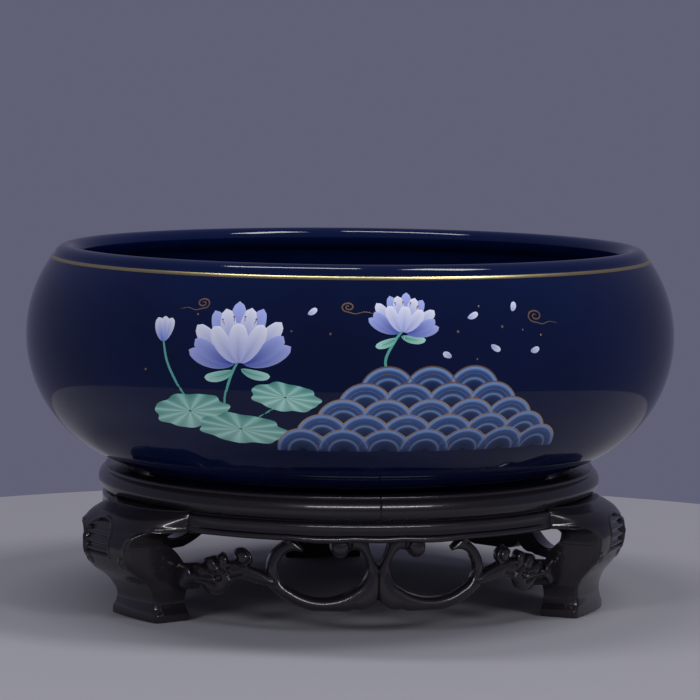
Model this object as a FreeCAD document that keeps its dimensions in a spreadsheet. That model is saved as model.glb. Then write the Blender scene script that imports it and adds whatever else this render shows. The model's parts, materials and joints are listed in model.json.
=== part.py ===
import FreeCAD, Part
import os
import re
import Sketcher

# Ceramic jardiniere resting on a low three-legged carved stand.
# Millimetres. Z is up, the floor is z = 0, the common axis of bowl and stand is x = y = 0,
# and the middle of the stand's front panel looks towards -Y.

doc = FreeCAD.newDocument("jardiniere_on_stand")

SIZES = {
    # bowl: one bulging arc makes the side wall, a rounded lip turns in over it
    "belly_radius": 180.0,
    "belly_height": 146.5,
    "bulge_radius": 72.5,
    "bowl_wall": 8.0,
    "lip_outer": 164.3,
    "lip_outer_height": 191.4,
    "lip_crest": 156.5,
    "bowl_top": 195.8,
    "mouth_radius": 151.0,
    "mouth_height": 190.4,
    "throat_radius": 160.7,
    "throat_height": 183.0,
    "foot_outer": 112.0,
    "foot_inner": 97.0,
    "foot_recess": 5.5,
    # seat board in the rim ring
    "seat_height": 67.0,
    "board_thickness": 8.0,
    "board_tongue": 4.0,
    "board_radius": 128.7,
    "batten_width": 26.0,
    "batten_taper": 1.5,
    "batten_depth": 9.0,
    "batten_housing": 3.0,
    "batten_half_length": 122.0,
    # rim ring, in three segments
    "ring_inner": 124.0,
    "ring_groove": 129.0,
    "ring_outer": 139.8,
    "ring_widest_height": 66.8,
    "ring_foot": 136.8,
    "ring_bottom": 61.0,
    "ring_quirk": 136.4,
    "ring_quirk_height": 71.9,
    "ring_top": 74.0,
    "edge_round": 1.6,
    "tongue_inner": 130.5,
    "tongue_outer": 134.0,
    "tongue_height": 2.5,
    "key_inner": 131.0,
    "key_outer": 136.5,
    "key_bottom": 65.5,
    "key_top": 70.0,
    "key_angle": 7.0,
    "segment_angle": 120.0,
    # apron segments
    "apron_inner": 124.0,
    "apron_outer": 137.4,
    "apron_face": 135.8,
    "apron_bottom": 50.0,
    "waist_radius": 134.3,
    "waist_height": 60.2,
    "bead_height": 3.2,
    "apron_angle": 90.0,
    # legs
    "leg_half_angle": 15.0,
    "knee_half_angle": 9.5,
    "knee_share": 0.9,
    "leg_azimuth": 60.0,
    "shoulder_radius": 139.3,
    "knee_radius": 159.0,
    "knee_height": 45.0,
    "shin_radius": 148.8,
    "shin_height": 23.0,
    "ankle_radius": 143.4,
    "ankle_height": 12.0,
    "toe_radius": 144.9,
    "toe_height": 4.0,
    "heel_radius": 125.0,
    "sole_allowance": 1.0,
    "calf_radius": 138.0,
    "foot_half_width": 22.5,
    "ankle_half_width": 19.4,
    "shin_half_width": 21.0,
    "spandrel_half_width": 29.0,
    # openwork scrolls between the legs
    "scroll_outer": 134.0,
    "scroll_inner": 124.0,
    "scroll_bottom": 12.6,
    "scroll_angle": 108.0,
    # dowels
    "dowel_diameter": 6.0,
    "dowel_reach": 8.0,
    "apron_dowel_radius": 128.0,
    "apron_dowel_height": 55.5,
    "scroll_dowel_diameter": 4.0,
    "scroll_dowel_reach": 6.0,
    "scroll_dowel_out": 127.8,
    "scroll_dowel_height": 24.5,
    "leg_dowel_diameter": 5.0,
    "leg_dowel_radius": 132.2,
    "leg_dowel_bottom": 49.0,
    "leg_dowel_length": 21.0,
}

# the two ends of a piece that is drawn along +X, and the side of the middle that each is on
ENDS = (("first", -1), ("second", 1))
# azimuths in degrees that the pieces are turned to
LEGS = {"leg_front_left": 210, "leg_front_right": 330, "leg_rear": 90}
SEGMENTS = {"front_left": 210, "front_right": 330, "rear": 90}
PANELS = {"front": 270, "rear_right": 30, "rear_left": 150}

sheet = doc.addObject("Spreadsheet::Sheet", "Sizes")
for row, (alias, value) in enumerate(SIZES.items(), 1):
    sheet.set(f"A{row}", alias)
    sheet.set(f"B{row}", str(value))
    sheet.setAlias(f"B{row}", alias)
doc.recompute()


def bound(formula):
    """The formula with every size name in it pointed at its cell of the sheet."""
    return re.sub(r"[a-z]+(?:_[a-z]+)+", lambda name: "Sizes." + name.group(), str(formula))


def amount(formula):
    """The formula's value, worked out by the sheet."""
    return float(sheet.evalExpression(bound(formula)))


def new_body(label):
    body = doc.addObject("PartDesign::Body", label)
    body.Label = label
    return body


def new_sketch(body, name, plane="XZ_Plane", turn=0.0, lift=0.0):
    """Sketch on one of the body's own planes, turned about Z by degrees or moved along its normal."""
    sketch = body.newObject("Sketcher::SketchObject", name)
    origin = next(item for item in body.Origin.OriginFeatures if item.Role == plane)
    sketch.AttachmentSupport = [(origin, "")]
    sketch.MapMode = "FlatFace"
    turned = FreeCAD.Rotation(FreeCAD.Vector(0, 1, 0), turn)
    moved = turned.multVec(FreeCAD.Vector(0, 0, lift))
    sketch.AttachmentOffset = FreeCAD.Placement(moved, turned)
    return sketch


def pin(sketch, index, position, point):
    """Hold one point of a sketch element at the two formulas of its place."""
    for direction, formula in zip(("DistanceX", "DistanceY"), point):
        rule = Sketcher.Constraint(direction, -1, 1, index, position, amount(formula))
        number = sketch.addConstraint(rule)
        sketch.setExpression(f"Constraints[{number}]", bound(formula))


def outline(sketch, start, *steps):
    """Closed outline from start: a step of one point is a straight run to it, and a step of two
    points is an arc through the first to the second. It closes with a straight run."""
    def spot(point):
        return FreeCAD.Vector(amount(point[0]), amount(point[1]), 0)

    here = start
    for step in steps + ((start,),):
        there = step[-1]
        if len(step) == 2:
            arc = Part.Arc(spot(here), spot(step[0]), spot(there))
            index = sketch.addGeometry(arc)
            forward = sketch.getPoint(index, 1).distanceToPoint(spot(here)) < 1e-6
            middle = sketch.addGeometry(Part.Point(spot(step[0])), True)
            pin(sketch, middle, 1, step[0])
            sketch.addConstraint(Sketcher.Constraint("PointOnObject", middle, 1, index))
            pin(sketch, index, 1 if forward else 2, here)
            pin(sketch, index, 2 if forward else 1, there)
        else:
            index = sketch.addGeometry(Part.LineSegment(spot(here), spot(there)))
            pin(sketch, index, 1, here)
            pin(sketch, index, 2, there)
        here = there


def disc(sketch, centre, diameter):
    """Circle with its centre and diameter bound to the sheet."""
    middle = FreeCAD.Vector(amount(centre[0]), amount(centre[1]), 0)
    circle = Part.Circle(middle, FreeCAD.Vector(0, 0, 1), amount(diameter) / 2)
    index = sketch.addGeometry(circle)
    pin(sketch, index, 3, centre)
    number = sketch.addConstraint(Sketcher.Constraint("Diameter", index, amount(diameter)))
    sketch.setExpression(f"Constraints[{number}]", bound(diameter))


def spin(body, kind, name, sketch, angle):
    """Revolution or Groove about Z, half its angle to each side of the sketch."""
    feature = body.newObject(f"PartDesign::{kind}", name)
    feature.Profile = sketch
    feature.ReferenceAxis = (sketch, ["V_Axis"])
    feature.Midplane = True
    feature.Angle = amount(angle)
    feature.setExpression("Angle", bound(angle))
    return feature


def extrude(body, kind, name, sketch, length):
    """Pad or Pocket of the sketch, half its length to each side."""
    feature = body.newObject(f"PartDesign::{kind}", name)
    feature.Profile = sketch
    feature.Midplane = True
    feature.Length = amount(length)
    feature.setExpression("Length", bound(length))
    return feature


def mirror(body, name, features, plane):
    """The same features again on the other side of one of the body's planes."""
    feature = body.newObject("PartDesign::Mirrored", name)
    feature.Originals = features
    origin = next(item for item in body.Origin.OriginFeatures if item.Role == plane)
    feature.MirrorPlane = (origin, [""])
    body.Tip = feature
    return feature


def stand_at(body, azimuth):
    """Turn a piece that was drawn along +X to its place round the stand."""
    body.Placement = FreeCAD.Placement(
        FreeCAD.Vector(), FreeCAD.Rotation(FreeCAD.Vector(0, 0, 1), azimuth))


def tongue_run():
    """Up, across and down the tongue that goes into the ring's lower groove."""
    top = "ring_bottom + tongue_height"
    return (
        (("tongue_inner", "ring_bottom"),),
        (("tongue_inner", top),),
        (("tongue_outer", top),),
        (("tongue_outer", "ring_bottom"),),
    )


def bowl():
    """Thrown bowl: floor, one bulging wall, a rounded lip that turns in, and a ring foot."""
    body = new_body("bowl")
    section = new_sketch(body, "bowl_section")
    floor = "belly_height - bulge_radius + bowl_wall"
    underside = "seat_height + foot_recess"
    foot_line = ("foot_outer", "belly_height - sqrt(bulge_radius^2 - "
                 "(foot_outer - belly_radius + bulge_radius)^2)")
    outline(
        section,
        ("0", floor),
        (("belly_radius - bulge_radius", floor),),
        (("belly_radius - bowl_wall", "belly_height"), ("throat_radius", "throat_height")),
        (("mouth_radius", "mouth_height"),),
        (("lip_crest", "bowl_top"), ("lip_outer", "lip_outer_height")),
        (("belly_radius", "belly_height"), foot_line),
        (("foot_outer", "seat_height"),),
        (("foot_inner", "seat_height"),),
        (("foot_inner - 2", underside),),
        (("0", underside),),
    )
    spin(body, "Revolution", "bowl_spin", section, 360)
    return body


def seat_board():
    """Round board with a tongue all round for the ring's groove and a dovetail housing below."""
    body = new_body("seat_board")
    section = new_sketch(body, "board_section")
    outline(
        section,
        ("0", "seat_height - board_thickness"),
        (("ring_inner - 0.3", "seat_height - board_thickness"),),
        (("ring_inner - 0.3", "seat_height - board_tongue"),),
        (("board_radius", "seat_height - board_tongue"),),
        (("board_radius", "seat_height"),),
        (("0", "seat_height"),),
    )
    spin(body, "Revolution", "board_spin", section, 360)
    housing = new_sketch(body, "housing_section", "YZ_Plane")
    low = "seat_height - board_thickness"
    outline(
        housing,
        ("-batten_width / 2 + batten_taper", f"{low} - 1"),
        (("batten_width / 2 - batten_taper", f"{low} - 1"),),
        (("batten_width / 2 - batten_taper", low),),
        (("batten_width / 2", f"{low} + batten_housing"),),
        (("-batten_width / 2", f"{low} + batten_housing"),),
        (("-batten_width / 2 + batten_taper", low),),
    )
    extrude(body, "Pocket", "dovetail_housing", housing, "ring_outer * 2")
    return body


def board_batten():
    """Cross batten that keeps the board flat, slid into the dovetail housing."""
    body = new_body("board_batten")
    section = new_sketch(body, "batten_section", "YZ_Plane")
    low = "seat_height - board_thickness"
    outline(
        section,
        ("-batten_width / 2 + batten_taper", f"{low} - batten_depth"),
        (("batten_width / 2 - batten_taper", f"{low} - batten_depth"),),
        (("batten_width / 2 - batten_taper", low),),
        (("batten_width / 2", f"{low} + batten_housing"),),
        (("-batten_width / 2", f"{low} + batten_housing"),),
        (("-batten_width / 2 + batten_taper", low),),
    )
    extrude(body, "Pad", "batten_pad", section, "batten_half_length * 2")
    return body


def leg_dowel_bore(body):
    """Upright hole for the dowel that ties a leg to the ring segment above it."""
    middle = amount("leg_dowel_bottom + leg_dowel_length / 2")
    hole = new_sketch(body, f"{body.Label}_dowel_hole", "XY_Plane", lift=middle)
    disc(hole, ("leg_dowel_radius", "0"), "leg_dowel_diameter")
    extrude(body, "Pocket", f"{body.Label}_dowel_bore", hole, "leg_dowel_length")


def key_section(sketch):
    outline(
        sketch,
        ("key_inner", "key_bottom"),
        (("key_outer", "key_bottom"),),
        (("key_outer", "key_top"),),
        (("key_inner", "key_top"),),
    )


def rim_segment(label, azimuth):
    """A third of the moulded ring: a half-round moulding outside, grooves for the board and for
    the tongues below, and a slot for a loose key in each end."""
    body = new_body(label)
    section = new_sketch(body, f"{label}_section")
    outline(
        section,
        ("ring_inner", "ring_bottom"),
        *tongue_run(),
        (("ring_foot", "ring_bottom"),),
        (("ring_outer", "ring_widest_height"), ("ring_quirk + 0.9", "ring_quirk_height")),
        (("ring_quirk", "ring_quirk_height"),),
        (("ring_quirk - 0.3", "ring_top - 0.5"), ("ring_quirk - edge_round", "ring_top")),
        (("ring_inner + edge_round", "ring_top"),),
        (("ring_inner + 0.4", "ring_top - 0.5"), ("ring_inner", "ring_top - edge_round")),
        (("ring_inner", "seat_height"),),
        (("ring_groove", "seat_height"),),
        (("ring_groove", "seat_height - board_tongue"),),
        (("ring_inner", "seat_height - board_tongue"),),
    )
    spin(body, "Revolution", f"{label}_spin", section, "segment_angle")
    for end, sign in ENDS:
        slot = new_sketch(body, f"{label}_{end}_slot", turn=sign * amount("segment_angle / 2"))
        key_section(slot)
        spin(body, "Groove", f"{label}_{end}_slot_cut", slot, "key_angle")
    leg_dowel_bore(body)
    stand_at(body, azimuth)
    return body


def rim_key(label, azimuth):
    """Loose key glued across the butt joint of two ring segments."""
    body = new_body(label)
    section = new_sketch(body, f"{label}_section")
    key_section(section)
    spin(body, "Revolution", f"{label}_spin", section, "key_angle")
    stand_at(body, azimuth)
    return body


def apron_section(sketch):
    """Waist, rounded shoulder, flat face and a bead along the lower edge, with the tongue on top."""
    outline(
        sketch,
        ("apron_inner", "ring_bottom"),
        *tongue_run(),
        (("waist_radius", "ring_bottom"),),
        (("waist_radius", "waist_height"),),
        (("apron_outer - 0.9", "waist_height - 0.8"), ("apron_outer", "waist_height - 2.8")),
        (("apron_face", "apron_bottom + bead_height"),),
        (("apron_outer", "apron_bottom + bead_height / 2"), ("apron_face", "apron_bottom")),
        (("apron_inner", "apron_bottom"),),
    )


def apron(label, azimuth):
    """Curved apron under the ring, butted between two legs and dowelled to them."""
    body = new_body(label)
    section = new_sketch(body, f"{label}_section")
    apron_section(section)
    spin(body, "Revolution", f"{label}_spin", section, "apron_angle")
    for end, sign in ENDS:
        hole = new_sketch(body, f"{label}_{end}_hole", turn=sign * amount("apron_angle / 2"))
        disc(hole, ("apron_dowel_radius", "apron_dowel_height"), "dowel_diameter")
        extrude(body, "Pocket", f"{label}_{end}_bore", hole, "dowel_reach * 2")
    stand_at(body, azimuth)
    return body


def leg_section(sketch, share):
    """Radial section of a leg: the apron's form where share is 0, the full knee where it is 1."""
    knee = f"(apron_outer + {share} * (knee_radius - apron_outer))"
    shin = f"(apron_outer + {share} * (shin_radius - apron_outer))"
    calf = f"(heel_radius + {share} * (calf_radius - heel_radius))"
    crook = f"(apron_inner + 1.5 + 5 * {share})"
    shoulder = f"(waist_radius + {share} * (shoulder_radius - waist_radius))"
    knee_at = f"(waist_height - 2.8 + {share} * (knee_height - waist_height + 2.8))"
    outline(
        sketch,
        ("apron_inner", "ring_bottom"),
        *tongue_run(),
        ((shoulder, "ring_bottom"),),
        ((shoulder, "waist_height"),),
        ((f"{knee} - 0.9 - 5.1 * {share}", f"waist_height - 0.8 - 3.4 * {share}"), (knee, knee_at)),
        ((f"{knee} - 0.4 - 1.5 * {share}", f"({knee_at} + shin_height) / 2 - 0.8 * {share}"),
         (shin, "shin_height")),
        ((f"({shin} + ankle_radius) / 2 - 0.3 - 0.8 * {share}", "(shin_height + ankle_height) / 2"),
         ("ankle_radius", "ankle_height")),
        (("toe_radius", "toe_height"),),
        (("toe_radius", "-sole_allowance"),),
        (("heel_radius", "-sole_allowance"),),
        (("heel_radius", "shin_height + 3"),),
        ((f"heel_radius + 0.3 + 0.35 * ({calf} - heel_radius)", "knee_height - 9"),
         (calf, "knee_height - 2")),
        ((f"({calf} + {crook}) / 2 + 0.4 + 2 * {share}", "apron_bottom - 1"),
         (crook, "apron_bottom + 5.5")),
        (("apron_inner", "apron_bottom + 6.5"),),
    )


def leg(label, azimuth):
    """Cabriole leg: it swells out of the apron into a broad knee, draws in at the ankle and ends
    in a square foot. Its flanks are sawn to the front outline."""
    body = new_body(label)
    stations = (
        ("first_edge", -amount("leg_half_angle"), 0),
        ("first_side", -amount("knee_half_angle"), "knee_share"),
        ("middle", 0.0, 1),
        ("second_side", amount("knee_half_angle"), "knee_share"),
        ("second_edge", amount("leg_half_angle"), 0),
    )
    sections = []
    for name, turn, share in stations:
        section = new_sketch(body, f"{label}_{name}", turn=turn)
        leg_section(section, share)
        sections.append(section)
    doc.recompute()
    loft = body.newObject("PartDesign::AdditiveLoft", f"{label}_loft")
    loft.Profile = sections[0]
    loft.Sections = sections[1:]

    flank = new_sketch(body, f"{label}_flank", "YZ_Plane")
    outline(
        flank,
        ("spandrel_half_width", "apron_bottom"),
        (("shin_half_width + 2.4", "apron_bottom - 2.8"), ("shin_half_width", "apron_bottom - 10")),
        (("shin_half_width", "shin_height - 6"),),
        (("ankle_half_width", "ankle_height"), ("ankle_half_width + 0.6", "toe_height + 3")),
        (("foot_half_width", "toe_height"),),
        (("foot_half_width", "-5"),),
        (("foot_half_width * 3", "-5"),),
        (("foot_half_width * 3", "apron_bottom"),),
    )
    flank_cut = extrude(body, "Pocket", f"{label}_flank_cut", flank, "knee_radius * 3")
    mirror(body, f"{label}_other_flank", [flank_cut], "XZ_Plane")

    sole = new_sketch(body, f"{label}_sole")
    outline(
        sole,
        ("heel_radius - 5", "-sole_allowance * 3"),
        (("toe_radius + 5", "-sole_allowance * 3"),),
        (("toe_radius + 5", "0"),),
        (("heel_radius - 5", "0"),),
    )
    extrude(body, "Pocket", f"{label}_sole_cut", sole, "foot_half_width * 3")

    leg_dowel_bore(body)
    for side, sign in ENDS:
        hole = new_sketch(body, f"{label}_{side}_hole", turn=sign * amount("leg_half_angle"))
        disc(hole, ("apron_dowel_radius", "apron_dowel_height"), "dowel_diameter")
        extrude(body, "Pocket", f"{label}_{side}_bore", hole, "dowel_reach * 2")
        low_hole = new_sketch(body, f"{label}_{side}_low_hole", lift=sign * amount("shin_half_width"))
        disc(low_hole, ("scroll_dowel_out", "scroll_dowel_height"), "scroll_dowel_diameter")
        extrude(body, "Pocket", f"{label}_{side}_low_bore", low_hole, "scroll_dowel_reach * 2")
    stand_at(body, azimuth)
    return body


def scroll(label, azimuth):
    """Openwork scroll between two legs, fretted out of a curved blank: two C-scrolls that meet in
    a V, each with a ball curl and a horn under the apron, and a leafy branch out to each leg."""
    body = new_body(label)
    blank = new_sketch(body, f"{label}_blank")
    outline(
        blank,
        ("scroll_inner", "scroll_bottom"),
        (("scroll_outer", "scroll_bottom"),),
        (("scroll_outer", "apron_bottom"),),
        (("scroll_inner", "apron_bottom"),),
    )
    spin(body, "Revolution", f"{label}_blank_spin", blank, "scroll_angle")

    above = "apron_bottom + 4"
    below = "scroll_bottom - 4"
    eye = new_sketch(body, f"{label}_eye", "YZ_Plane")
    outline(
        eye,
        ("24.8", above),
        (("24.8", "45.8"),),
        (("20.6", "40.9"), ("15.7", "43.6")),
        (("12.0", "45.4"), ("8.3", "42.6")),
        (("5.8", "33"), ("12", "24.4")),
        (("29", "18.8"), ("46", "24.2")),
        (("51.6", "31"), ("50.2", "38.6")),
        (("46.2", "43.4"), ("39.6", "43.4")),
        (("38.8", "45.2"),),
        (("43.5", "apron_bottom"),),
        (("43.5", above),),
    )
    eye_cut = extrude(body, "Pocket", f"{label}_eye_cut", eye, "scroll_outer * 3")

    window = new_sketch(body, f"{label}_window", "YZ_Plane")
    outline(
        window,
        ("48.4", above),
        (("48.4", "48.2"),),
        (("55.2", "41"), ("57.4", "31.2")),
        (("66.2", "34.6"),),
        (("67.4", "42.8"), ("73.6", "40.4")),
        (("73", "37"), ("76.4", "36")),
        (("79.6", "39.6"), ("82.6", "35.4")),
        (("86.6", "37.2"), ("88.6", "32")),
        (("92", "32.6"), ("94.4", "28")),
        (("97.5", "31.6"), ("102", "31.2")),
        (("125", "31.2"),),
        (("125", above),),
    )
    window_cut = extrude(body, "Pocket", f"{label}_window_cut", window, "scroll_outer * 3")

    under = new_sketch(body, f"{label}_under", "YZ_Plane")
    outline(
        under,
        ("0", below),
        (("0", "19"),),
        (("4.6", "14.6"), ("12.5", "scroll_bottom + 1")),
        (("39", "scroll_bottom + 1.2"), ("57", "24.6")),
        (("68", "27"),),
        (("74.5", "25.4"), ("77", "21.6")),
        (("83", "17.6"), ("89", "21.4")),
        (("93.6", "22.6"), ("98", "18")),
        (("125", "17"),),
        (("125", below),),
    )
    under_cut = extrude(body, "Pocket", f"{label}_under_cut", under, "scroll_outer * 3")

    notch = new_sketch(body, f"{label}_notch", "YZ_Plane")
    outline(
        notch,
        ("0", "36"),
        (("3.2", "42"), ("5.4", "apron_bottom")),
        (("5.4", above),),
        (("0", above),),
    )
    notch_cut = extrude(body, "Pocket", f"{label}_notch_cut", notch, "scroll_outer * 3")

    trim = new_sketch(body, f"{label}_trim", "XY_Plane")
    reach = "({} * sin(leg_azimuth) - shin_half_width) / cos(leg_azimuth)"
    outline(
        trim,
        ("60", reach.format(60)),
        (("100", reach.format(100)),),
        (("40", reach.format(100)),),
    )
    trim_cut = extrude(body, "Pocket", f"{label}_trim_cut", trim, "apron_bottom * 3")
    mirror(body, f"{label}_mirrored", [eye_cut, window_cut, under_cut, notch_cut, trim_cut],
           "XZ_Plane")
    for side, sign in ENDS:
        hole = new_sketch(body, f"{label}_{side}_hole", turn=sign * amount("leg_azimuth"),
                          lift=sign * amount("shin_half_width"))
        disc(hole, ("scroll_dowel_out", "scroll_dowel_height"), "scroll_dowel_diameter")
        extrude(body, "Pocket", f"{label}_{side}_bore", hole, "scroll_dowel_reach * 2")
    stand_at(body, azimuth)
    return body


def dowels(label, diameter, length, middles):
    """Like dowels in one node: each middle is a point and the direction that its dowel lies in."""
    pins = []
    for number, (middle, direction) in enumerate(middles, 1):
        dowel = doc.addObject("Part::Cylinder", f"{label}_{number}")
        dowel.setExpression("Radius", bound(f"{diameter} / 2"))
        dowel.setExpression("Height", bound(length))
        turned = FreeCAD.Rotation(FreeCAD.Vector(0, 0, 1), direction)
        foot = middle - direction * (amount(length) / 2)
        dowel.Placement = FreeCAD.Placement(foot, turned)
        pins.append(dowel)
    group = doc.addObject("Part::Compound", label)
    group.Label = label
    group.Links = pins
    return group


def round_stand(azimuth, radial, tangential, height):
    """Point of the stand, radial out along an azimuth and tangential off to its left."""
    turned = FreeCAD.Rotation(FreeCAD.Vector(0, 0, 1), azimuth)
    return turned.multVec(FreeCAD.Vector(radial, tangential, height))


pieces = [bowl(), seat_board(), board_batten()]
for side, azimuth in SEGMENTS.items():
    pieces.append(rim_segment(f"rim_{side}", azimuth))
for side, azimuth in PANELS.items():
    pieces.append(rim_key(f"rim_key_{side}", azimuth))
    pieces.append(apron(f"apron_{side}", azimuth))
    pieces.append(scroll(f"scroll_{side}", azimuth))
for label, azimuth in LEGS.items():
    pieces.append(leg(label, azimuth))

half = amount("leg_half_angle")
upright = FreeCAD.Vector(0, 0, 1)
leg_spots, apron_spots, scroll_spots = [], [], []
for azimuth in LEGS.values():
    middle = amount("leg_dowel_bottom + leg_dowel_length / 2")
    leg_spots.append((round_stand(azimuth, amount("leg_dowel_radius"), 0, middle), upright))
    for sign in (-1, 1):
        edge = azimuth + sign * half
        apron_spots.append((
            round_stand(edge, amount("apron_dowel_radius"), 0, amount("apron_dowel_height")),
            round_stand(edge, 0, 1, 0)))
        scroll_spots.append((
            round_stand(azimuth, amount("scroll_dowel_out"), sign * amount("shin_half_width"),
                        amount("scroll_dowel_height")),
            round_stand(azimuth, 0, 1, 0)))
pieces.append(dowels("leg_dowels", "leg_dowel_diameter", "leg_dowel_length", leg_spots))
pieces.append(dowels("apron_dowels", "dowel_diameter", "dowel_reach * 2", apron_spots))
pieces.append(dowels("scroll_dowels", "scroll_dowel_diameter", "scroll_dowel_reach * 2",
                     scroll_spots))

doc.recompute()
for item in doc.Objects:
    if "Invalid" in item.State or "Error" in item.State:
        raise RuntimeError(f"{item.Name} did not build")

os.makedirs("parts", exist_ok=True)
for piece in pieces:
    shape = piece.Shape
    if shape.isNull() or not shape.isValid():
        raise RuntimeError(f"{piece.Label} has no sound shape")
    shape.exportStep(f"parts/{piece.Label}.step")
    print(f"{piece.Label}: {len(shape.Solids)} solid, {shape.Volume / 1000:.1f} cm3")
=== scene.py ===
import json
import math
import bpy
import numpy as np
from mathutils import Matrix, Vector

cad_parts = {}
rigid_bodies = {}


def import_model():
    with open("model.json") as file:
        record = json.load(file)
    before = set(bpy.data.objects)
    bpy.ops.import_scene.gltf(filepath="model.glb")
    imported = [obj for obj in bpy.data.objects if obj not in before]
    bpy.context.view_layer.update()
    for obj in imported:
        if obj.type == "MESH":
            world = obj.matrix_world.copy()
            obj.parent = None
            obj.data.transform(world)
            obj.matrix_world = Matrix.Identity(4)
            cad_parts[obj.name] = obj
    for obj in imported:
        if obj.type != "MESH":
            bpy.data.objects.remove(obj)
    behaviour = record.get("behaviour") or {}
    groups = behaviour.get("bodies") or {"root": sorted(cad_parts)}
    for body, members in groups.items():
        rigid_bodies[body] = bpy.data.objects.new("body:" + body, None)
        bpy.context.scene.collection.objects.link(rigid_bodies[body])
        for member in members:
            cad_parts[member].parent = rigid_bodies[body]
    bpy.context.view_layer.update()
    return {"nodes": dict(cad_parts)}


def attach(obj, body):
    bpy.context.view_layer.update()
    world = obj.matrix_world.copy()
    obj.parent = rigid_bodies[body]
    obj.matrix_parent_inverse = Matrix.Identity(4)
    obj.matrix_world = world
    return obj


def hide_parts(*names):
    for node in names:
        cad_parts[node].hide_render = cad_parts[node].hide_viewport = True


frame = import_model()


# --- Legs ---------------------------------------------------------------------------------------
# Three cabriole legs of a close-grained hardwood, carved by hand and lacquered black. Each swells
# out of the apron into a broad knee with a ribbed panel, draws in at the ankle and ends in a
# square foot. Its top is tongued and dowelled to the ring.

MM = 0.001
LEG_AZIMUTH = {"leg_front_left": 210.0, "leg_front_right": 330.0, "leg_rear": 90.0}
PANEL_SHIFT = {"leg_front_left": -6.5, "leg_front_right": 6.5, "leg_rear": 0.0}
KNEE_SWELL = {"leg_front_left": 1.22, "leg_front_right": 0.92, "leg_rear": 1.0}
FAR_SQUARENESS = {"leg_front_left": 9.0, "leg_front_right": 5.0, "leg_rear": 5.0}
LEG_EDGE = math.radians(15.0)
KNEE_SQUARENESS, SHOULDER_EASE = 5.0, 2.7
LEG_TOP, LEDGE = 61.0, 50.0
ROWS_UP = 210
CORNER, OUTLINE_EASE = 2.4, 2.2
APRON_FACE, WOOD_BACK = 137.4, 124.0
SHOULDER_AT, APRON_SWELL_AT, KNEE_DROP = 60.2, 57.4, 12.4
KNEE_OUT, SHIN_OUT, SHIN_AT = 21.6, 11.4, 23.0
ANKLE, ANKLE_AT, TOE_AT, TOE_FLARE = 143.4, 12.0, 4.0, 1.5
HEEL, HEEL_TOP, CALF_AT, CROOK_AT = 125.0, 26.0, 43.0, 55.5
FOOT_HALF, ANKLE_HALF, SHIN_HALF = 22.5, 20.0, 21.0
PANEL_HALF, PANEL_FOOT, PANEL_SPRING, PANEL_RISE = 11.5, 36.0, 47.0, 7.5
PANEL_DEPTH, RIB_RISE, RIB_PITCH = 1.6, 1.5, 4.4
FILLET_RISE, BEAD_RISE = 0.5, 0.75


def new_mesh_piece(name, points, faces, material, sharp):
    """Object at the origin from points in millimetres, shaded smooth up to the sharp angle."""
    mesh = bpy.data.meshes.new(name)
    mesh.from_pydata((np.asarray(points).reshape(-1, 3) * MM).tolist(), [], faces)
    mesh.update()
    mesh.shade_smooth()
    mesh.set_sharp_from_angle(angle=math.radians(sharp))
    mesh.materials.append(material)
    piece = bpy.data.objects.new(name, mesh)
    bpy.context.scene.collection.objects.link(piece)
    return piece


def tube_faces(rows, columns, capped=True):
    """Faces of a closed tube: row after row of points, each row a ring. Capped, both its ends
    are filled."""
    ring = np.arange(columns)
    low = np.arange(rows - 1)[:, None] * columns
    a, b = low + ring, low + (ring + 1) % columns
    faces = np.stack([a, b, b + columns, a + columns], -1).reshape(-1, 4).tolist()
    if capped:
        faces.append(ring[::-1].tolist())
        faces.append(((rows - 1) * columns + ring).tolist())
    return faces


def turned(points, azimuth):
    """Points drawn round +X, turned about Z to the azimuth in degrees."""
    angle = math.radians(azimuth)
    x, y, z = np.moveaxis(np.asarray(points, float), -1, 0)
    return np.stack([x * math.cos(angle) - y * math.sin(angle),
                     x * math.sin(angle) + y * math.cos(angle), z], -1)


def arc_out(start, middle, end, height):
    """Radius at a height on the circle through three points of (radius, height). The circle's
    centre is where the points' upright bisectors meet, and the side nearer the middle is used."""
    (ax, ay), (bx, by), (cx, cy) = start, middle, end
    turn = 2 * (ax * (by - cy) + bx * (cy - ay) + cx * (ay - by))
    a2, b2, c2 = ax * ax + ay * ay, bx * bx + by * by, cx * cx + cy * cy
    ux = (a2 * (by - cy) + b2 * (cy - ay) + c2 * (ay - by)) / turn
    uy = (a2 * (cx - bx) + b2 * (ax - cx) + c2 * (bx - ax)) / turn
    radius = np.hypot(ax - ux, ay - uy)
    side = np.sign(bx - ux)
    return ux + side * np.sqrt(np.maximum(radius ** 2 - (height - uy) ** 2, 0))


def smooth_step(low, high, value):
    """0 below low, 1 above high, and a smooth S between them."""
    t = np.clip((value - low) / (high - low), 0, 1)
    return t * t * (3 - 2 * t)


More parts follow.
